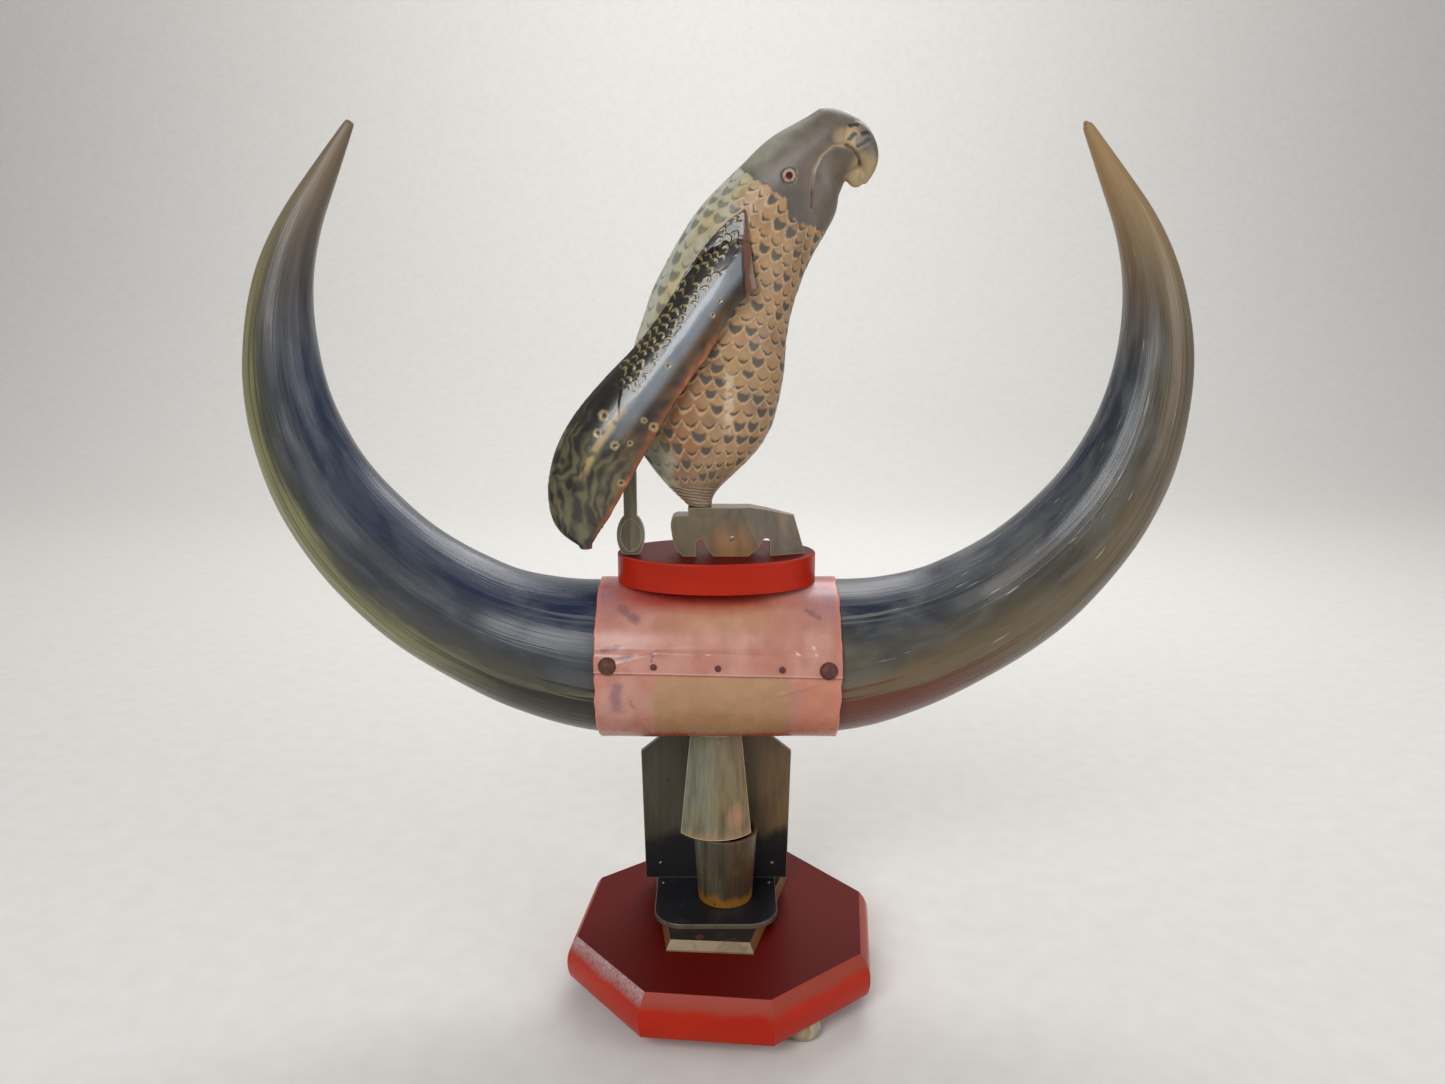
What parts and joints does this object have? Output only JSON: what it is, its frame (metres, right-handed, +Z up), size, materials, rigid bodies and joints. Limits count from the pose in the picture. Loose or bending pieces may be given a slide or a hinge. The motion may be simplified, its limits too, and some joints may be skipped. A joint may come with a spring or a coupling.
{
  "type": "horn ornament with a carved bird",
  "caption": "Mantel ornament: two polished cattle horns on a wrapped head block, a carved horn bird on a red plinth above, and a pedestal of horn plates on an eight-sided red board.",
  "frame": {"origin": "on the floor under the middle of the eight-sided board and midway between the horns", "axes": "+Z up, -Y the front, where the wrap's lap and tacks show, +X the way the bird faces"},
  "size_m": [0.533, 0.1868, 0.5096],
  "materials": {
    "red_lacquer": "glossy red lacquer over wood, scuffed paler on the upper edge",
    "raw_wood": "plain sawn and planed wood",
    "grey_horn": "polished grey cattle horn with lengthwise streaks",
    "amber_horn": "polished horn, amber at its bevels and dark on top",
    "dark_horn": "polished dark slate horn",
    "olive_horn": "polished horn, grey green to tan, dark at its foot",
    "pale_horn": "polished pale horn, grey green to cream",
    "carved_horn": "carved horn with scale marks, tan below and cream on the back",
    "wing_horn": "glossy black horn with a mottled carved band",
    "taupe_horn": "sanded taupe horn",
    "eye_ring": "pale inlaid ring",
    "eye_pupil": "dark red inlay",
    "wrap_leather": "tight pink and beige hide, stained purple and red",
    "steel": "plain steel, slightly tarnished",
    "dark_tack": "domed steel tack with a brown finish"
  },
  "bodies": {
    "root": {"base_board": "red_lacquer", "base_feet": "pale_horn", "foot_screws": "steel", "foot_plate": "amber_horn", "foot_plate_screw": "dark_tack", "shelf_plate": "dark_horn", "shelf_pins": "dark_tack", "post": "raw_wood", "post_screw": "steel", "cup": "olive_horn", "skirt_plate": "pale_horn", "back_plate": "olive_horn", "back_plate_pins": "dark_tack", "back_rail": "red_lacquer", "rail_screws": "steel", "head_core": "raw_wood", "horn_left": "grey_horn", "horn_right": "grey_horn", "wrap_sheet": "wrap_leather", "seam_tacks": "dark_tack", "seam_nails": "dark_tack", "plinth": "red_lacquer", "plinth_screws": "steel", "claw_plate": "taupe_horn", "claw_pegs": "raw_wood", "bird_body": "carved_horn", "eye_rings": "eye_ring", "eye_pupils": "eye_pupil", "wing_near": "wing_horn", "wing_far": "wing_horn", "tail_prop": "pale_horn"}
  },
  "joints": []
}
